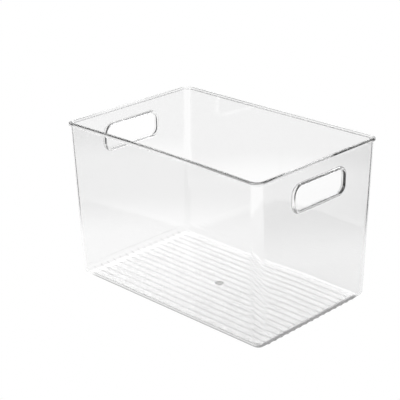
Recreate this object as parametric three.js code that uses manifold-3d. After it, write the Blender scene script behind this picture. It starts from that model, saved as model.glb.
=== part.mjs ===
// Clear fridge bin: one open-topped moulding in transparent plastic, with a ribbed floor, drafted walls,
// an outward rim and a finger slot with a rounded collar in each short end.
// Millimetres, +Z up. The origin is under the middle of the bin, on the surface that it stands on.
// +X points to the right end, -Y to the front. The meshes are neighbouring regions of the one moulding.
import * as THREE from "three";
import { mergeVertices } from "three/addons/utils/BufferGeometryUtils.js";
import Module from "manifold-3d";

const wasm = await Module();
wasm.setup();

// ---- driving dimensions ----
const LENGTH = 305;
const WIDTH = 203;
const HEIGHT = 197;
const WALL = 2.2;

// Rim: a bead round the mouth. It stands proud of the walls outside, where it is rounded, and is flush with
// them inside.
const RIM_OVERHANG = 2;
const RIM_HEIGHT = 4.1;
const RIM_TOP_ROUND = 2.4;
const RIM_FOOT_ROUND = 1.6;
const RIM_EDGE = 0.5;

// The walls lean out by these amounts from the ground to the rim.
const END_DRAFT = 3.7;
const SIDE_DRAFT = 6.4;
const CORNER_RADIUS = 10.5;

// The long walls bow inwards a little at mid length, most at the rim, as thin moulded walls do.
const FRONT_BOW = 2.8;
const BACK_BOW = 0.8;

// Floor: flat between the base radii, and lifted off the ground by the ribs under it.
const BASE_RADIUS = 8.3;
const RIB_HEIGHT = 1;
const RIB_PITCH = 10.36;
const RIBS_EACH_SIDE = 8;
const RIB_FOOT = 0.8;
const RIB_BASE = 2.4;
const RIB_ROOT = 0.4;
const RIB_SWEEP = 0.28 * Math.PI;
const GATE_RADIUS = 5;

// Finger slots, one in each short end, with a rounded collar that stands out from both faces of the wall.
const SLOT_WIDTH = 82;
const SLOT_BOTTOM = 148;
const SLOT_TOP = 176;
const SLOT_RADIUS = 9;
const COLLAR_WIDTH = 3.2;
const COLLAR_OUT = 2;
const COLLAR_IN = 1.8;
const COLLAR_ROUND = 1.5;

// Facets in each kind of curve.
const CORNER_STEPS = 6;
const BASE_STEPS = 5;
const BOW_STEPS = 8;
const SLOT_STEPS = 6;
const ROUND_STEPS = 4;
const GATE_STEPS = 24;

// ---- derived sizes ----
const wallTop = HEIGHT - RIM_HEIGHT;
const floorBottom = RIB_HEIGHT;
const wallBottom = floorBottom + BASE_RADIUS;
const halfLength = (z) => LENGTH / 2 - RIM_OVERHANG - END_DRAFT * (1 - z / wallTop);
const halfWidth = (z) => WIDTH / 2 - RIM_OVERHANG - SIDE_DRAFT * (1 - z / wallTop);

// ---- materials ----
const clearPlastic = (color, opacity) =>
  new THREE.MeshStandardMaterial({ color, roughness: 0.06, metalness: 0, transparent: true, opacity });
const wallPlastic = clearPlastic(0xf1f6f5, 0.28);
const rimPlastic = clearPlastic(0xdfe6e5, 0.45);
const collarPlastic = clearPlastic(0xcfd6d6, 0.5);

const bin = new THREE.Group();

function addMesh(name, geometry, material) {
  geometry.computeVertexNormals();
  const mesh = new THREE.Mesh(geometry, material.clone());
  mesh.name = name;
  bin.add(mesh);
}

// ---- outlines ----
// One side of the bin at height z, as points from one corner's tangent to the next, counter-clockwise seen
// from above. The outline lies inset inside the walls' outer face. A side turns with quarter: 0 is the
// right end, 1 the back, 2 the left end and 3 the front.
function sidePoints(quarter, z, inset) {
  const isEnd = quarter % 2 === 0;
  const reach = (isEnd ? halfLength(z) : halfWidth(z)) - inset;
  const half = (isEnd ? halfWidth(z) : halfLength(z)) - CORNER_RADIUS;
  const bow = [0, BACK_BOW, 0, FRONT_BOW][quarter] * (z / wallTop);
  const steps = isEnd ? 1 : BOW_STEPS;
  const turn = (quarter * Math.PI) / 2;
  const points = [];
  for (let i = 0; i <= steps; i++) {
    const along = (2 * i) / steps - 1;
    const point = new THREE.Vector3(reach - bow * (1 - along * along), half * along, z);
    points.push(point.applyAxisAngle(new THREE.Vector3(0, 0, 1), turn));
  }
  return points;
}

// The rounded corner that follows that side.
function cornerPoints(quarter, z, inset) {
  const sign = [[1, 1], [-1, 1], [-1, -1], [1, -1]][quarter];
  const centreX = sign[0] * (halfLength(z) - CORNER_RADIUS);
  const centreY = sign[1] * (halfWidth(z) - CORNER_RADIUS);
  const radius = CORNER_RADIUS - inset;
  const points = [];
  for (let i = 0; i <= CORNER_STEPS; i++) {
    const angle = ((quarter + i / CORNER_STEPS) * Math.PI) / 2;
    const x = centreX + radius * Math.cos(angle);
    const y = centreY + radius * Math.sin(angle);
    points.push(new THREE.Vector3(x, y, z));
  }
  return points;
}

// The whole outline, once round.
function outline(z, inset) {
  const points = [];
  for (let quarter = 0; quarter < 4; quarter++) {
    points.push(...cornerPoints(quarter, z, inset).slice(0, -1));
    points.push(...sidePoints((quarter + 1) % 4, z, inset).slice(0, -1));
  }
  return points;
}

// Points of an arc in a section, as pairs. Angles are in quarter turns from the first axis.
function sectionArc(centre, radius, start, end) {
  const points = [];
  for (let i = 0; i <= ROUND_STEPS; i++) {
    const angle = ((start + ((end - start) * i) / ROUND_STEPS) * Math.PI) / 2;
    points.push([centre[0] + radius * Math.cos(angle), centre[1] + radius * Math.sin(angle)]);
  }
  return points;
}

// ---- solids ----
// A surface through rings of equal point counts. It is closed by a cap on the first and the last ring, or,
// with closed set, by joining the last ring to the first. Rings run counter-clockwise seen from the last.
function loft(rings, closed = false) {
  const count = rings[0].length;
  const positions = rings.flat().flatMap((p) => [p.x, p.y, p.z]);
  const faces = [];
  const pairs = closed ? rings.length : rings.length - 1;
  for (let r = 0; r < pairs; r++) {
    const low = r * count;
    const high = ((r + 1) % rings.length) * count;
    for (let i = 0; i < count; i++) {
      const next = (i + 1) % count;
      faces.push(low + i, low + next, high + next, low + i, high + next, high + i);
    }
  }
  if (!closed) {
    const last = (rings.length - 1) * count;
    const flat = (ring) => ring.map((p) => new THREE.Vector2(p.x, p.y));
    const capOf = (ring) => THREE.ShapeUtils.triangulateShape(flat(ring), []);
    for (const [a, b, c] of capOf(rings[0])) {
      faces.push(a, c, b);
    }
    for (const [a, b, c] of capOf(rings.at(-1))) {
      faces.push(last + a, last + b, last + c);
    }
  }
  const geometry = new THREE.BufferGeometry();
  geometry.setAttribute("position", new THREE.Float32BufferAttribute(positions, 3));
  geometry.setIndex(faces);
  return geometry;
}

function toSolid(geometry) {
  const bare = geometry.clone();
  bare.deleteAttribute("normal");
  bare.deleteAttribute("uv");
  const merged = mergeVertices(bare, 1e-4);
  const vertProperties = new Float32Array(merged.attributes.position.array);
  const triVerts = new Uint32Array(merged.index.array);
  return new wasm.Manifold(new wasm.Mesh({ numProp: 3, vertProperties, triVerts }));
}

function toGeometry(solid) {
  const mesh = solid.getMesh();
  const geometry = new THREE.BufferGeometry();
  geometry.setAttribute("position", new THREE.BufferAttribute(mesh.vertProperties, 3));
  geometry.setIndex(new THREE.BufferAttribute(mesh.triVerts, 1));
  return geometry;
}

// ---- floor pan: the floor, the radius that turns up into the walls, and the ribs ----
// Rings of a quarter circle between the floor and the walls, from the floor up. radius is the circle's own,
// and both circles have the same centre.
function baseRings(radius) {
  const rings = [];
  for (let i = 0; i <= BASE_STEPS; i++) {
    const angle = (i / BASE_STEPS) * (Math.PI / 2);
    const inset = BASE_RADIUS - radius * Math.sin(angle);
    rings.push(outline(wallBottom - radius * Math.cos(angle), inset));
  }
  return rings;
}

// A rib in the XZ plane: flat under the floor and turned up round both ends, where it fades into the radius.
function ribOutline() {
  const centreX = halfLength(floorBottom) - BASE_RADIUS;
  const arc = (radiusAt) => {
    const points = [];
    for (let i = 0; i <= BASE_STEPS; i++) {
      const share = i / BASE_STEPS;
      const angle = share * RIB_SWEEP;
      const radius = radiusAt(share);
      points.push([centreX + radius * Math.sin(angle), wallBottom - radius * Math.cos(angle)]);
    }
    return points;
  };
  const under = arc((share) => BASE_RADIUS + RIB_HEIGHT * (1 - share ** 3) - RIB_ROOT * share ** 3);
  const root = arc(() => BASE_RADIUS - RIB_ROOT);
  const mirrored = (points) => points.map(([x, z]) => [-x, z]);
  const innerPath = [...root.slice(0, -1).reverse(), ...mirrored(root.slice(0, -1))];
  const path = [...under, ...innerPath, ...mirrored(under).reverse()];
  return new THREE.Shape(path.map(([x, z]) => new THREE.Vector2(x, z)));
}

// The rib outline has a narrow foot and a wide base: its sides slope over the rib's height.
function ribGeometry(y) {
  const geometry = new THREE.ExtrudeGeometry(ribOutline(), { depth: 1, bevelEnabled: false });
  const position = geometry.attributes.position;
  for (let i = 0; i < position.count; i++) {
    const x = position.getX(i);
    const z = position.getY(i);
    const flatX = halfLength(floorBottom) - BASE_RADIUS;
    const outwards = Math.max(Math.abs(x) - flatX, 0);
    const depth = Math.hypot(outwards, wallBottom - z) - BASE_RADIUS;
    const width = THREE.MathUtils.mapLinear(depth, RIB_HEIGHT, -RIB_ROOT, RIB_FOOT, RIB_BASE);
    const side = position.getZ(i) > 0.5 ? -1 : 1;
    position.setXYZ(i, x, y + (side * width) / 2, z);
  }
  return geometry;
}

function floorPan() {
  const rings = [...baseRings(BASE_RADIUS), ...baseRings(BASE_RADIUS - WALL).reverse()];
  let solid = toSolid(loft(rings));
  for (let i = -RIBS_EACH_SIDE; i <= RIBS_EACH_SIDE; i++) {
    solid = solid.add(toSolid(ribGeometry(i * RIB_PITCH)));
  }
  const gateHeight = RIB_HEIGHT + RIB_ROOT;
  const gate = new THREE.CylinderGeometry(GATE_RADIUS, GATE_RADIUS, gateHeight, GATE_STEPS);
  gate.rotateX(Math.PI / 2);
  gate.translate(0, 0, gateHeight / 2);
  return toGeometry(solid.add(toSolid(gate)));
}

// ---- walls and corners: a level slice at the foot, lofted to the same slice under the rim ----
function standingRegion(pointsAt) {
  const slice = (z) => [...pointsAt(z, 0), ...pointsAt(z, WALL).reverse()];
  return loft([slice(wallBottom), slice(wallTop)]);
}

// ---- end walls: a flat, leaning panel with an opening that the collar fills ----
function roundedSlot(margin) {
  const halfY = SLOT_WIDTH / 2 + margin;
  const low = SLOT_BOTTOM - margin;
  const high = SLOT_TOP + margin;
  const radius = SLOT_RADIUS + margin;
  const path = new THREE.Path();
  path.absarc(halfY - radius, high - radius, radius, 0, Math.PI / 2);
  path.absarc(-halfY + radius, high - radius, radius, Math.PI / 2, Math.PI);
  path.absarc(-halfY + radius, low + radius, radius, Math.PI, 1.5 * Math.PI);
  path.absarc(halfY - radius, low + radius, radius, 1.5 * Math.PI, 2 * Math.PI);
  return path.getPoints(SLOT_STEPS);
}

// Turns a flat YZ shape into a plate on an end wall. It lies between two distances from the wall's outer
// face, positive outwards, and leans with the wall. end is +1 for the right end and -1 for the left.
function plateOnEnd(shape, end, inner, outer) {
  const geometry = new THREE.ExtrudeGeometry(shape, { depth: 1, bevelEnabled: false });
  const position = geometry.attributes.position;
  for (let i = 0; i < position.count; i++) {
    const y = position.getX(i);
    const z = position.getY(i);
    const offset = position.getZ(i) > 0.5 ? outer : inner;
    position.setXYZ(i, end * (halfLength(z) + offset), end * y, z);
  }
  return geometry;
}

function endWall(end) {
  const low = halfWidth(wallBottom) - CORNER_RADIUS;
  const high = halfWidth(wallTop) - CORNER_RADIUS;
  const corners = [[-low, wallBottom], [low, wallBottom], [high, wallTop], [-high, wallTop]];
  const panel = new THREE.Shape(corners.map(([y, z]) => new THREE.Vector2(y, z)));
  panel.holes.push(new THREE.Path(roundedSlot(COLLAR_WIDTH).reverse()));
  return plateOnEnd(panel, end, -WALL, 0);
}

// The collar is a ring that fills the opening and stands out from the wall outside and inside. Its section
// is a bar with four rounded edges, given as the slot's margin and the offset from the wall's outer face.
function collar(end) {
  const near = COLLAR_ROUND;
  const far = COLLAR_WIDTH - COLLAR_ROUND;
  const outer = COLLAR_OUT - COLLAR_ROUND;
  const inner = -WALL - COLLAR_IN + COLLAR_ROUND;
  const section = [
    ...sectionArc([far, inner], COLLAR_ROUND, -1, 0),
    ...sectionArc([far, outer], COLLAR_ROUND, 0, 1),
    ...sectionArc([near, outer], COLLAR_ROUND, 1, 2),
    ...sectionArc([near, inner], COLLAR_ROUND, 2, 3),
  ];
  const ringAt = ([margin, offset]) =>
    roundedSlot(margin).map(({ x, y }) => new THREE.Vector3(end * (halfLength(y) + offset), end * x, y));
  return loft(section.map(ringAt), true);
}

// ---- rim: a closed bead, rounded outside and nearly square inside ----
function rim() {
  const out = -RIM_OVERHANG;
  const section = [
    [WALL, wallTop],
    ...sectionArc([out + RIM_FOOT_ROUND, wallTop + RIM_FOOT_ROUND], RIM_FOOT_ROUND, -1, -2),
    ...sectionArc([out + RIM_TOP_ROUND, HEIGHT - RIM_TOP_ROUND], RIM_TOP_ROUND, -2, -3),
    [WALL - RIM_EDGE, HEIGHT],
    [WALL, HEIGHT - RIM_EDGE],
  ];
  // The bead stands upright, so every level of it follows the walls' outline at the rim's underside.
  const rings = section.map(([inset, z]) => outline(wallTop, inset).map((p) => p.setZ(z)));
  return loft(rings, true);
}

// ---- assembly ----
addMesh("floor_pan", floorPan(), wallPlastic);
addMesh("back_wall", standingRegion((z, inset) => sidePoints(1, z, inset)), wallPlastic);
addMesh("front_wall", standingRegion((z, inset) => sidePoints(3, z, inset)), wallPlastic);
addMesh("right_end_wall", endWall(1), wallPlastic);
addMesh("left_end_wall", endWall(-1), wallPlastic);
["back_right", "back_left", "front_left", "front_right"].forEach((place, quarter) => {
  addMesh("corner_" + place, standingRegion((z, inset) => cornerPoints(quarter, z, inset)), wallPlastic);
});
addMesh("right_handle_collar", collar(1), collarPlastic);
addMesh("left_handle_collar", collar(-1), collarPlastic);
addMesh("rim_bead", rim(), rimPlastic);

export default bin;
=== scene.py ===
"""Looks for the clear fridge bin: one continuous moulding in clear plastic, on a white floor in soft light.

Metres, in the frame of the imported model: +X to the right end, -Y to the front, +Z up, origin under the
middle of the bin on the surface that it stands on.
"""

import math

import bmesh
import bpy
from mathutils import Matrix, Vector
from mathutils.geometry import tessellate_polygon


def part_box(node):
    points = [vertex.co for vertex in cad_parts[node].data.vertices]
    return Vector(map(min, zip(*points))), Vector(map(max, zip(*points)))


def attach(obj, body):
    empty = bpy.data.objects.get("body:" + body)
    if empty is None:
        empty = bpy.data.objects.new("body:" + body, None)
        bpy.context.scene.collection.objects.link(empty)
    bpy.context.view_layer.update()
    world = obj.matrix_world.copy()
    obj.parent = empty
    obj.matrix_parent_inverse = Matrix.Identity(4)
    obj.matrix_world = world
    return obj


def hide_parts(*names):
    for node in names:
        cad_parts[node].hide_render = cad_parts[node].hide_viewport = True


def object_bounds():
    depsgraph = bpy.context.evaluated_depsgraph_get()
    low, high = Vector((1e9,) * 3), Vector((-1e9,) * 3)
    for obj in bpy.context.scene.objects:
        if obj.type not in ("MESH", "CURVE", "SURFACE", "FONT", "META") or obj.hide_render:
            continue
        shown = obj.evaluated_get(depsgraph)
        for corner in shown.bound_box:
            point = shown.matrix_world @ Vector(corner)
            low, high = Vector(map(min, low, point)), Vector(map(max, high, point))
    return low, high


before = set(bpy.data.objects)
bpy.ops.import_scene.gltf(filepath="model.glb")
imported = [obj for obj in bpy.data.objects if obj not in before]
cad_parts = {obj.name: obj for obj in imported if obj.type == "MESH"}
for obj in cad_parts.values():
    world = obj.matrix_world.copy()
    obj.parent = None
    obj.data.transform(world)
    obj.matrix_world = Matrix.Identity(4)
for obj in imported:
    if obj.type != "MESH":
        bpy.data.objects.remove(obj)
cad_low, cad_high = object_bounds()
MM = 0.001

# ---- driving dimensions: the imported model's box, and the sizes that its solids were made with ----
HEIGHT = cad_high.z
MIDDLE = (cad_low + cad_high) / 2
WALL = 2.2 * MM
CORNER_RADIUS = 10.5 * MM
END_DRAFT = 3.7 * MM
SIDE_DRAFT = 6.4 * MM
FRONT_BOW = 2.8 * MM
BACK_BOW = 0.8 * MM
SUPPORT = 0.25 * MM  # flat strip beside each round, so that flat faces keep straight normals

RIM_OVERHANG = 2 * MM
RIM_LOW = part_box("rim_bead")[0].z
RIM_TOP_ROUND = 2.4 * MM
RIM_FOOT_ROUND = 1.6 * MM
RIM_FILLET = 0.4 * MM
RIM_INNER_ROUND = 0.5 * MM

RIB_HEIGHT = 1 * MM
RIB_PITCH = 10.36 * MM
RIBS_EACH_SIDE = 8
RIB_HALF_WIDTH = 1 * MM
RIB_SWEEP = 0.28 * math.pi
RIB_FADE = 7 * MM
FLOOR_LOW = RIB_HEIGHT
BASE_RADIUS = 8.3 * MM
BASE_TOP = FLOOR_LOW + BASE_RADIUS

GATE_RADIUS = 5 * MM
GATE_EDGE = 1 * MM
HOLLOW_RADIUS = 1.2 * MM
HOLLOW_DEPTH = 0.5 * MM
PIN_RADIUS = 1.3 * MM
PIN_DEPTH = 0.5 * MM
PIN_PLACES = [-107.5 * MM, 98.5 * MM]

SLOT_HALF_WIDTH = 41 * MM
SLOT_LOW = 148 * MM
SLOT_HIGH = 176 * MM
SLOT_RADIUS = 9 * MM
COLLAR_WIDTH = 3.2 * MM
COLLAR_OUT = 2 * MM
COLLAR_IN = 1.8 * MM
COLLAR_ROUND = 1.5 * MM
COLLAR_FILLET = 0.4 * MM

CORNER_STEPS = 10
BASE_STEPS = 12
ROUND_STEPS = 5
SLOT_STEPS = 12

# Where the floor's mesh is cut. Pairs are a reach each side and the step between cuts.
GATE_CUTS = (6.5 * MM, 0.5 * MM)
PIN_CUTS = (2 * MM, 0.4 * MM)
SPAN_CUTS = (120 * MM, 20 * MM)
FADE_SHARES = (0.25, 0.5, 0.75, 1)
RIB_SHARES = (0.25, 0.5, 0.7, 0.85, 1, 1.15)
END_SHARES = 4
LONG_GAP = 0.2 * MM
RIB_GAP = 0.1 * MM


def half_length(z):
    return cad_high.x - RIM_OVERHANG - END_DRAFT * (1 - z / RIM_LOW)


def half_width(z):
    return cad_high.y - RIM_OVERHANG - SIDE_DRAFT * (1 - z / RIM_LOW)


def smooth_step(low, high, value):
    share = min(max((value - low) / (high - low), 0), 1)
    return share * share * (3 - 2 * share)


def merged(values, gap):
    """The values in order, without any that lies closer than gap to the one before it."""
    kept = []
    for value in sorted(values):
        if not kept or value - kept[-1] > gap:
            kept.append(value)
    return kept


def spread(centre, reach, step):
    """Values each side of centre, a step apart."""
    count = round(reach / step)
    return [centre + i * step for i in range(-count, count + 1)]


# ---- camera ----
CAMERA_AZIMUTH = math.radians(44.02)
CAMERA_ELEVATION = math.radians(22.47)
CAMERA_ROLL = math.radians(-1.05)
CAMERA_DISTANCE = 1.4164
CAMERA_LENS = 108.8
CAMERA_REACH = 100
AIM_SIDE = -22.4 * MM
AIM_UP = 11.1 * MM


def make_camera():
    sine, cosine = math.sin(CAMERA_AZIMUTH), math.cos(CAMERA_AZIMUTH)
    flat = math.cos(CAMERA_ELEVATION)
    away = Vector((sine * flat, -cosine * flat, math.sin(CAMERA_ELEVATION)))
    eye = MIDDLE + away * CAMERA_DISTANCE
    aim = MIDDLE + Vector((cosine, sine, 0)) * AIM_SIDE + Vector((0, 0, AIM_UP))
    turn = (eye - aim).to_track_quat("Z", "Y").to_matrix().to_4x4()
    data = bpy.data.cameras.new("camera")
    data.lens = CAMERA_LENS
    data.clip_end = CAMERA_REACH
    camera = bpy.data.objects.new("camera", data)
    camera.matrix_world = Matrix.Translation(eye) @ turn @ Matrix.Rotation(CAMERA_ROLL, 4, "Z")
    bpy.context.scene.collection.objects.link(camera)
    bpy.context.scene.camera = camera


# ---- surface builder ----
class Surface:
    """Points and faces of one mesh."""

    def __init__(self):
        self.points = []
        self.faces = []

    def vertices(self, points):
        first = len(self.points)
        self.points.extend(points)
        return list(range(first, len(self.points)))

    def strip(self, low, high):
        """Quads between two rows of as many vertices."""
        for i in range(len(low) - 1):
            self.faces.append((low[i], low[i + 1], high[i + 1], high[i]))

    def strips(self, low_ring, high_ring, sides=range(8)):
        for side in sides:
            self.strip(low_ring[side], high_ring[side])

    def ring(self, segments):
        """Adds a closed ring of segments, each with both its ends, and returns each one's vertices."""
        rows = [self.vertices(segment[:-1]) for segment in segments]
        return [row + [rows[(i + 1) % len(rows)][0]] for i, row in enumerate(rows)]

    def panel(self, loop, hole, flat):
        """Fills between a loop and a hole in it. flat gives a point's two coordinates in the panel."""
        loops = [[Vector((*flat(self.points[i]), 0)) for i in ids] for ids in (loop, hole)]
        ids = loop + hole
        for triangle in tessellate_polygon(loops):
            self.faces.append(tuple(ids[i] for i in triangle))

    def to_object(self, name):
        mesh = bpy.data.meshes.new(name)
        mesh.from_pydata(self.points, [], self.faces)
        work = bmesh.new()
        work.from_mesh(mesh)
        bmesh.ops.recalc_face_normals(work, faces=work.faces)
        work.to_mesh(mesh)
        work.free()
        mesh.polygons.foreach_set("use_smooth", [True] * len(mesh.polygons))
        made = bpy.data.objects.new(name, mesh)
        bpy.context.scene.collection.objects.link(made)
        return made


# ---- rings: the bin's outline at one height ----
def long_cuts():
    """Where the long sides and the floor are cut across, as shares of the straight half length."""
    half = half_length(FLOOR_LOW) - CORNER_RADIUS
    places = spread(0, *GATE_CUTS) + spread(0, *SPAN_CUTS)
    for pin in PIN_PLACES:
        places += spread(pin, *PIN_CUTS)
    places += [sign * (half - RIB_FADE * share) for sign in (-1, 1) for share in FADE_SHARES]
    return [place / half for place in merged(places, LONG_GAP)]


def rib_cuts():
    """Where the ends are cut upwards below the base radius, to give the ribs their section."""
    limit = half_width(FLOOR_LOW) - CORNER_RADIUS - RIB_GAP
    offsets = [0, *(sign * share * RIB_HALF_WIDTH for share in RIB_SHARES for sign in (-1, 1))]
    ribs = [i * RIB_PITCH for i in range(-RIBS_EACH_SIDE, RIBS_EACH_SIDE + 1)]
    places = [rib + offset for rib in ribs for offset in offsets]
    places += spread(0, *GATE_CUTS)
    return [place for place in merged(places, RIB_GAP) if abs(place) < limit]


LONG_CUTS = long_cuts()
RIB_CUTS = rib_cuts()
END_CUTS = [share / END_SHARES for share in range(1 - END_SHARES, END_SHARES)]


def side_points(quarter, z, inset, ribbed):
    """One side, from corner to corner, counter-clockwise seen from above.

    quarter is 0 for the right side, 1 for the back, 2 for the left and 3 for the front.
    """
    is_end = quarter % 2 == 0
    reach = (half_length(z) if is_end else half_width(z)) - inset
    half = (half_width(z) if is_end else half_length(z)) - CORNER_RADIUS
    bow = (0, BACK_BOW, 0, FRONT_BOW)[quarter] * min(z / RIM_LOW, 1)
    if is_end and ribbed:
        along = [-half, *RIB_CUTS, half]
    else:
        sign = -1 if quarter == 1 else 1
        cuts = END_CUTS if is_end else sorted(sign * cut for cut in LONG_CUTS)
        along = [-half, *(cut * half for cut in cuts), half]
    turn = Matrix.Rotation(quarter * math.pi / 2, 3, "Z")
    return [turn @ Vector((reach - bow * (1 - (t / half) ** 2), t, z)) for t in along]


def corner_points(quarter, z, inset):
    """The rounded corner after that side."""
    signs = ((1, 1), (-1, 1), (-1, -1), (1, -1))[quarter]
    centre_x = signs[0] * (half_length(z) - CORNER_RADIUS)
    centre_y = signs[1] * (half_width(z) - CORNER_RADIUS)
    radius = CORNER_RADIUS - inset
    points = []
    for i in range(CORNER_STEPS + 1):
        angle = (quarter + i / CORNER_STEPS) * math.pi / 2
        x = centre_x + radius * math.cos(angle)
        y = centre_y + radius * math.sin(angle)
        points.append(Vector((x, y, z)))
    return points


def ring_points(z, inset, ribbed=False):
    segments = []
    for quarter in range(4):
        segments.append(side_points(quarter, z, inset, ribbed))
        segments.append(corner_points(quarter, z, inset))
    return segments


def arc(centre, radius, start, end, steps):
    """Points of an arc in a section, as pairs. Angles are in quarter turns from the first axis."""
    points = []
    for i in range(steps + 1):
        angle = (start + (end - start) * i / steps) * math.pi / 2
        points.append((centre[0] + radius * math.cos(angle), centre[1] + radius * math.sin(angle)))
    return points


# ---- underside: the floor, its ribs, the gate pad and two pin marks ----
def rib_rise(y):
    """How far the nearest rib stands out at that place across the floor."""
    nearest = round(y / RIB_PITCH)
    if abs(nearest) > RIBS_EACH_SIDE:
        return 0
    share = abs(y - nearest * RIB_PITCH) / RIB_HALF_WIDTH
    return RIB_HEIGHT * (1 - smooth_step(0, 1, share))


def outermost_fade(x, y, half):
    """The outermost ribs stop short of the corners; the rest run on up the base radius."""
    if round(abs(y) / RIB_PITCH) < RIBS_EACH_SIDE:
        return 1
    return 1 - smooth_step(half - RIB_FADE, half, abs(x))


def underside_drop(x, y, half):
    """How far the underside stands out below the floor: ribs, the gate pad with its hollow, and pin marks."""
    rise = rib_rise(y) * outermost_fade(x, y, half)
    from_gate = math.hypot(x, y)
    gate = RIB_HEIGHT * (1 - smooth_step(GATE_RADIUS - GATE_EDGE, GATE_RADIUS, from_gate))
    gate -= HOLLOW_DEPTH * (1 - smooth_step(HOLLOW_RADIUS / 2, HOLLOW_RADIUS, from_gate))
    pins = 0
    for place in PIN_PLACES:
        pins -= PIN_DEPTH * (1 - smooth_step(PIN_RADIUS / 2, PIN_RADIUS, math.hypot(x - place, y)))
    return max(rise, gate) + pins


def add_underside(surface):
    """Rows across the floor. Returns the ring round it: the outermost rows, and the ends of every row."""
    z, inset = FLOOR_LOW, BASE_RADIUS
    right, back_right, back, back_left, left, front_left, front, front_right = ring_points(z, inset, True)
    right_edge = front_right[:-1] + right[:-1] + back_right
    left_edge = list(reversed(back_left[:-1] + left[:-1] + front_left))
    half = half_length(z) - CORNER_RADIUS
    cuts = [-1, *LONG_CUTS, 1]
    rows = []
    for right_end, left_end in zip(right_edge, left_edge):
        row = []
        for cut in cuts:
            point = left_end.lerp(right_end, (cut + 1) / 2)
            row.append(point - Vector((0, 0, underside_drop(point.x, point.y, half))))
        rows.append(row)
    for row, side in ((rows[0], front), (rows[-1], list(reversed(back)))):
        for point, edge in zip(row, side):
            point.x, point.y = edge.x, edge.y
    ids = [surface.vertices(row) for row in rows]
    for low, high in zip(ids, ids[1:]):
        surface.strip(low, high)
    right_ids = [row[-1] for row in ids]
    left_ids = [row[0] for row in reversed(ids)]
    ends = CORNER_STEPS
    return [
        right_ids[ends:-ends],
        right_ids[-ends - 1:],
        list(reversed(ids[-1])),
        left_ids[:ends + 1],
        left_ids[ends:-ends],
        left_ids[-ends - 1:],
        ids[0],
        right_ids[:ends + 1],
    ]


def ribbed_ring(share):
    """A ring round the base radius, a share of the way up it, pushed out where the ribs turn up the ends."""
    angle = share * math.pi / 2
    z = BASE_TOP - BASE_RADIUS * math.cos(angle)
    segments = ring_points(z, BASE_RADIUS * (1 - math.sin(angle)), True)
    fade = 1 - min(angle / RIB_SWEEP, 1) ** 3
    for quarter, sign in ((0, 1), (2, -1)):
        for point in segments[2 * quarter]:
            if abs(point.y) < (RIBS_EACH_SIDE - 0.5) * RIB_PITCH:
                rise = rib_rise(point.y) * fade
                point.x += sign * rise * math.sin(angle)
                point.z -= rise * math.cos(angle)
    return segments


# ---- end panels, slots and collars ----
def slot_loop(end, margin, offset):
    """A rounded slot on an end wall. margin widens it; offset is from the wall's outer face, outwards."""
    radius = SLOT_RADIUS + margin
    half = SLOT_HALF_WIDTH - SLOT_RADIUS
    low, high = SLOT_LOW + SLOT_RADIUS, SLOT_HIGH - SLOT_RADIUS
    points = []
    for quarter, (y, z) in enumerate(((half, high), (-half, high), (-half, low), (half, low))):
        points += arc((y, z), radius, quarter, quarter + 1, SLOT_STEPS)
    return [Vector((end * (half_length(z) + offset), y, z)) for y, z in points]


def collar_section():
    """Margin and offset of the collar's surface, from the wall's outer face round to its inner face."""
    wide, out, into = COLLAR_WIDTH, COLLAR_OUT, -WALL - COLLAR_IN
    rounded, fillet = COLLAR_ROUND, COLLAR_FILLET
    section = [(wide + fillet + SUPPORT, 0)]
    section += reversed(arc((wide + fillet, fillet), fillet, 2, 3, ROUND_STEPS))
    section += arc((wide - rounded, out - rounded), rounded, 0, 1, ROUND_STEPS)
    section += arc((rounded, out - rounded), rounded, 1, 2, ROUND_STEPS)
    section += arc((rounded, into + rounded), rounded, 2, 3, ROUND_STEPS)
    section += arc((wide - rounded, into + rounded), rounded, 3, 4, ROUND_STEPS)
    section += reversed(arc((wide + fillet, -WALL - fillet), fillet, 1, 2, ROUND_STEPS))
    section += [(wide + fillet + SUPPORT, -WALL)]
    return section


def add_collar(surface, end):
    """Adds a collar and returns its first and last loop: the holes in the outer and the inner panel."""
    loops = [surface.vertices(slot_loop(end, *station)) for station in collar_section()]
    for low, high in zip(loops, loops[1:]):
        surface.strip(low + low[:1], high + high[:1])
    return loops[0], loops[-1]


def add_walls(surface, low_ring, high_ring, holes):
    """Joins two rings by the walls between them. The ends are panels with a hole."""
    surface.strips(low_ring, high_ring, (1, 2, 3, 5, 6, 7))
    for side, hole in zip((0, 4), holes):
        surface.panel(low_ring[side] + list(reversed(high_ring[side])), hole, lambda p: (p.y, p.z))


# ---- the moulding ----
def rim_section():
    """Inset and height of the rim's surface, from the walls' outer face over the top to their inner face."""
    out = -RIM_OVERHANG
    top, foot, inner = RIM_TOP_ROUND, RIM_FOOT_ROUND, RIM_INNER_ROUND
    section = arc((-RIM_FILLET, RIM_LOW - RIM_FILLET), RIM_FILLET, 0, 1, ROUND_STEPS)
    section += arc((out + foot, RIM_LOW + foot), -foot, 1, 0, ROUND_STEPS)[1:]
    section += reversed(arc((out + top, HEIGHT - top), top, 1, 2, ROUND_STEPS))
    section += reversed(arc((WALL - inner, HEIGHT - inner), inner, 0, 1, ROUND_STEPS))
    section += [(WALL, RIM_LOW)]
    return section


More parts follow.
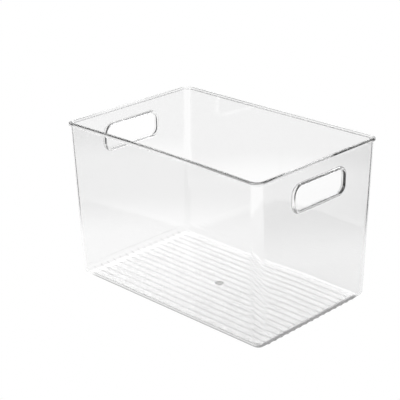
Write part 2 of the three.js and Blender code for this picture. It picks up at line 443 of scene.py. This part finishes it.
def build_moulding():
    surface = Surface()
    ring = add_underside(surface)
    for step in range(1, BASE_STEPS + 1):
        above = surface.ring(ribbed_ring(step / BASE_STEPS))
        surface.strips(ring, above)
        ring = above
    base_top = surface.ring(ring_points(BASE_TOP + SUPPORT, 0, True))
    surface.strips(ring, base_top)

    collars = [add_collar(surface, end) for end in (1, -1)]
    section = rim_section()
    wall_top = surface.ring(ring_points(section[0][1] - SUPPORT, 0))
    add_walls(surface, base_top, wall_top, [outer for outer, inner in collars])
    ring = wall_top
    for inset, z in section:
        level = min(z, RIM_LOW)
        points = ring_points(level, inset)
        for segment in points:
            for point in segment:
                point.z = z
        above = surface.ring(points)
        surface.strips(ring, above)
        ring = above

    inner_top = surface.ring(ring_points(RIM_LOW - SUPPORT, WALL))
    surface.strips(ring, inner_top)
    inner_low = surface.ring(ring_points(BASE_TOP + SUPPORT, WALL))
    add_walls(surface, inner_top, inner_low, [inner for outer, inner in collars])
    ring = inner_low
    radius = BASE_RADIUS - WALL
    for step in range(BASE_STEPS, -1, -1):
        angle = step / BASE_STEPS * math.pi / 2
        points = ring_points(BASE_TOP - radius * math.cos(angle), BASE_RADIUS - radius * math.sin(angle))
        below = surface.ring(points)
        surface.strips(ring, below)
        ring = below
    floor = surface.ring(ring_points(FLOOR_LOW + WALL, BASE_RADIUS + SUPPORT))
    surface.strips(ring, floor)
    surface.faces.append(tuple(i for segment in floor for i in segment[:-1]))
    return surface.to_object("bin_moulding")


# ---- shader nodes ----
NEAR_ZERO = 1e-4  # keeps a division by the reach from failing at the very middle


class Nodes:
    """Short ways to add and link shader nodes."""

    def __init__(self, tree):
        self.tree = tree

    def add(self, kind, **inputs):
        node = self.tree.nodes.new(kind)
        for name, value in inputs.items():
            self.set(node, name, value)
        return node

    def set(self, node, name, value):
        """Sets or links one input. A name such as i3 stands for input number 3."""
        socket = node.inputs[int(name[1:])] if name[1:].isdigit() else node.inputs[name.replace("_", " ")]
        if isinstance(value, bpy.types.NodeSocket):
            self.tree.links.new(value, socket)
        else:
            socket.default_value = value

    def math(self, operation, *values):
        node = self.tree.nodes.new("ShaderNodeMath")
        node.operation = operation
        for i, value in enumerate(values):
            self.set(node, f"i{i}", value)
        return node.outputs[0]

    def smooth(self, value, edge):
        """0 at the edge's first number and beyond it, 1 at its second and beyond, and smooth between them."""
        node = self.tree.nodes.new("ShaderNodeMapRange")
        node.interpolation_type = "SMOOTHSTEP"
        self.set(node, "i0", value)
        self.set(node, "i1", edge[0])
        self.set(node, "i2", edge[1])
        return node.outputs[0]

    def mix(self, share, first, second):
        """first where share is 0 and second where it is 1."""
        return self.math("ADD", self.math("MULTIPLY", self.math("SUBTRACT", 1, share), first),
                         self.math("MULTIPLY", share, second))

    def toward(self, place, azimuth):
        """How far place, seen from above, lies in one compass direction: the cosine of the angle between."""
        x, y = self.split(place, 0), self.split(place, 1)
        along = self.math("ADD", self.math("MULTIPLY", x, math.cos(azimuth)),
                          self.math("MULTIPLY", y, math.sin(azimuth)))
        return self.math("DIVIDE", along, self.math("MAXIMUM", self.reach(place), NEAR_ZERO))

    def split(self, place, index):
        node = self.tree.nodes.new("ShaderNodeSeparateXYZ")
        self.tree.links.new(place, node.inputs[0])
        return node.outputs[index]

    def reach(self, place):
        x, y = self.split(place, 0), self.split(place, 1)
        return self.length(x, y)

    def length(self, x, y):
        squares = self.math("ADD", self.math("MULTIPLY", x, x), self.math("MULTIPLY", y, y))
        return self.math("SQRT", squares)

    def footprint(self, place):
        """The distance from place to the outline of the bin's painted shade on the floor, less than nothing
        inside it.
        """
        beyond = []
        for i, half in enumerate((half_length(0), half_width(0))):
            along = self.math("ABSOLUTE", self.math("SUBTRACT", self.split(place, i), SHADE_SHIFT[i]))
            beyond.append(self.math("SUBTRACT", along, half - SHADE_TRIM[i] - CORNER_RADIUS))
        x, y = (self.math("MAXIMUM", value, 0) for value in beyond)
        outside = self.length(x, y)
        inside = self.math("MINIMUM", self.math("MAXIMUM", *beyond), 0)
        return self.math("SUBTRACT", self.math("ADD", outside, inside), CORNER_RADIUS)

    def flags(self, place):
        """The two dark flags at the camera's left and right, to draw the plastic's edges: no objects, only
        darker bands in the sky's light and painted into the floor's glow.
        """
        return self.smooth(self.math("ABSOLUTE", self.toward(place, CAMERA_AZIMUTH)), FLAG_EDGE)

    def plain_to_camera(self, glow):
        """Plain white to rays straight from the camera; glow to those that the plastic bends or reflects."""
        path = self.add("ShaderNodeLightPath")
        return self.mix(path.outputs["Is Camera Ray"], glow, 1)


# ---- material ----
# The gate's near-black colour is painted shade, not the plastic's own colour; the gate's reach also bounds
# its dull, rough face.
GATE_SHADE_COLOR = (0.006, 0.005, 0.004, 1)
GATE_DULL_AND_SHADE_REACH = (5.6 * MM, 4.8 * MM)
GATE_DEPTH = (2 * MM, 1.5 * MM)
GATE_ROUGHNESS = 0.4
HAZE = 0.05
HAZE_SCALE = 45
HAZE_DETAIL = 4
HAZE_EDGE = (0.5, 0.75)
WAVE_SCALE = 14
WAVE_DETAIL = 1
WAVE_HEIGHT = 0.04 * MM
PLASTIC_IOR = 1.57
PLASTIC_DENSITY = 1.5


def clear_plastic():
    material = bpy.data.materials.new("clear_plastic")
    material.use_nodes = True
    nodes = Nodes(material.node_tree)
    shader = material.node_tree.nodes["Principled BSDF"]
    output = material.node_tree.nodes["Material Output"]
    place = nodes.add("ShaderNodeTexCoord").outputs["Object"]

    # The trimmed gate under the floor is a dull disc, coloured near-black: painted shade standing in for the
    # dark look of its rough hollow.
    gate = nodes.math("MULTIPLY", nodes.smooth(nodes.reach(place), GATE_DULL_AND_SHADE_REACH),
                      nodes.smooth(nodes.split(place, 2), GATE_DEPTH))
    painted_gate_shade = nodes.add("ShaderNodeMix")
    painted_gate_shade.data_type = "RGBA"
    nodes.set(painted_gate_shade, "i0", gate)
    nodes.set(painted_gate_shade, "i6", (1, 1, 1, 1))
    nodes.set(painted_gate_shade, "i7", GATE_SHADE_COLOR)
    nodes.set(shader, "Base_Color", painted_gate_shade.outputs[2])

    # Faint haze from handling, and the gentle waves of a moulded sheet.
    smudge = nodes.add("ShaderNodeTexNoise", Vector=place, Scale=HAZE_SCALE, Detail=HAZE_DETAIL)
    haze = nodes.math("MULTIPLY", nodes.smooth(smudge.outputs[0], HAZE_EDGE), HAZE)
    nodes.set(shader, "Roughness", nodes.mix(gate, haze, GATE_ROUGHNESS))
    wave = nodes.add("ShaderNodeTexNoise", Vector=place, Scale=WAVE_SCALE, Detail=WAVE_DETAIL)
    bump = nodes.add("ShaderNodeBump", Height=wave.outputs[0], Distance=WAVE_HEIGHT)
    nodes.set(shader, "Normal", bump.outputs[0])

    nodes.set(shader, "Transmission_Weight", 1)
    nodes.set(shader, "IOR", PLASTIC_IOR)
    depth = nodes.add("ShaderNodeVolumeAbsorption", Color=(0, 0, 0, 1), Density=PLASTIC_DENSITY)
    nodes.set(output, "Volume", depth.outputs[0])
    return material


# ---- floor and light ----
# Glows are strengths. On the floor, edges are distances. In the sky they are sines of the height above the
# horizon (low, high, ceiling) or cosines of the angle from a compass direction (flag, lamp, back).
FLOOR_SIZE = 40
FLOOR_GAP = 0.1 * MM
FLOOR_GLOW = 0.95
FLOOR_DRIFT = 0.06  # the floor's painted light falls off from the left to the right
SHADE = 0.6  # the bin's soft shade, painted on the floor under it, not cast
SHADE_EDGE = (3 * MM, -3 * MM)
SHADE_SHIFT = (12 * MM, -3.5 * MM)
SHADE_TRIM = (0, 6.5 * MM)
HORIZON_GLOW = 0.68
FLAG_GLOW = 0.1
FLAG_EDGE = (0.81, 0.92)
FLAG_START = (0.27, 0.42)
CEILING_GLOW = 0.12
CEILING_EDGE = (0.26, 0.36)
LAMP_GLOW = 0.72
LAMP_EDGE = (0.1, 0.8)
LAMP_LOW = (0.36, 0.44)
LAMP_AZIMUTH = math.radians(-5)
BACK_GLOW = 3.2
BACK_LOW = (0.29, 0.33)
BACK_HIGH = (0.58, 0.5)
BACK_EDGE = (0.6, 0.8)
BACK_AZIMUTH = CAMERA_AZIMUTH + math.pi / 2
OPPOSITE_SHARE = 0.7
BOUNCES = 128  # enough for light to cross every layer of plastic


def make_floor():
    mesh = bpy.data.meshes.new("studio_floor")
    half = FLOOR_SIZE / 2
    corners = [(-half, -half), (half, -half), (half, half), (-half, half)]
    mesh.from_pydata([(x, y, -FLOOR_GAP) for x, y in corners], [], [(0, 1, 2, 3)])
    floor = bpy.data.objects.new("studio_floor", mesh)
    bpy.context.scene.collection.objects.link(floor)
    material = bpy.data.materials.new("studio_floor")
    material.use_nodes = True
    material.node_tree.nodes.clear()
    nodes = Nodes(material.node_tree)
    place = nodes.add("ShaderNodeTexCoord").outputs["Object"]
    # The floor glows. To the camera it is plain white; to rays that the plastic bends or reflects it shows
    # painted light: a glow that falls off to the right, darkened by the painted flags and by the bin's
    # painted shade.
    flags = nodes.math("MULTIPLY", nodes.flags(place), nodes.smooth(nodes.reach(place), FLAG_START))
    drift = nodes.math("MULTIPLY_ADD", nodes.toward(place, math.pi), FLOOR_DRIFT, FLOOR_GLOW)
    shade = nodes.math("MULTIPLY", nodes.smooth(nodes.footprint(place), SHADE_EDGE), SHADE)
    lit = nodes.math("MULTIPLY", drift, nodes.math("SUBTRACT", 1, shade))
    painted_table_light = nodes.mix(flags, lit, FLAG_GLOW)
    glow = nodes.add("ShaderNodeEmission", Strength=nodes.plain_to_camera(painted_table_light))
    nodes.add("ShaderNodeOutputMaterial", Surface=glow.outputs[0])
    mesh.materials.append(material)


def make_world():
    world = bpy.data.worlds.new("studio")
    world.use_nodes = True
    world.node_tree.nodes.clear()
    nodes = Nodes(world.node_tree)
    place = nodes.add("ShaderNodeTexCoord").outputs["Generated"]
    height = nodes.split(place, 2)
    horizon = nodes.mix(nodes.flags(place), HORIZON_GLOW, FLAG_GLOW)
    lamp_side = nodes.smooth(nodes.toward(place, LAMP_AZIMUTH), LAMP_EDGE)
    lamp = nodes.math("MULTIPLY", lamp_side, nodes.smooth(height, LAMP_LOW))
    facing = nodes.toward(place, BACK_AZIMUTH)
    # A weaker strip stands opposite, for the views from behind.
    facing = nodes.math("MAXIMUM", facing, nodes.math("MULTIPLY", facing, -OPPOSITE_SHARE))
    band = nodes.math("MULTIPLY", nodes.smooth(height, BACK_LOW), nodes.smooth(height, BACK_HIGH))
    back = nodes.math("MULTIPLY", nodes.smooth(facing, BACK_EDGE), band)
    above = nodes.mix(back, nodes.mix(lamp, CEILING_GLOW, LAMP_GLOW), BACK_GLOW)
    glow = nodes.mix(nodes.smooth(height, CEILING_EDGE), horizon, above)
    sky = nodes.add("ShaderNodeBackground", Color=(1, 1, 1, 1), Strength=nodes.plain_to_camera(glow))
    nodes.add("ShaderNodeOutputWorld", Surface=sky.outputs[0])
    bpy.context.scene.world = world


def set_render_look():
    scene = bpy.context.scene
    scene.view_settings.view_transform = "Standard"
    scene.cycles.max_bounces = BOUNCES
    scene.cycles.transmission_bounces = BOUNCES
    scene.cycles.glossy_bounces = BOUNCES


make_camera()
moulding = build_moulding()
moulding.data.materials.append(clear_plastic())
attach(moulding, "root")
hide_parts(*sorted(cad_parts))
make_floor()
make_world()
set_render_look()
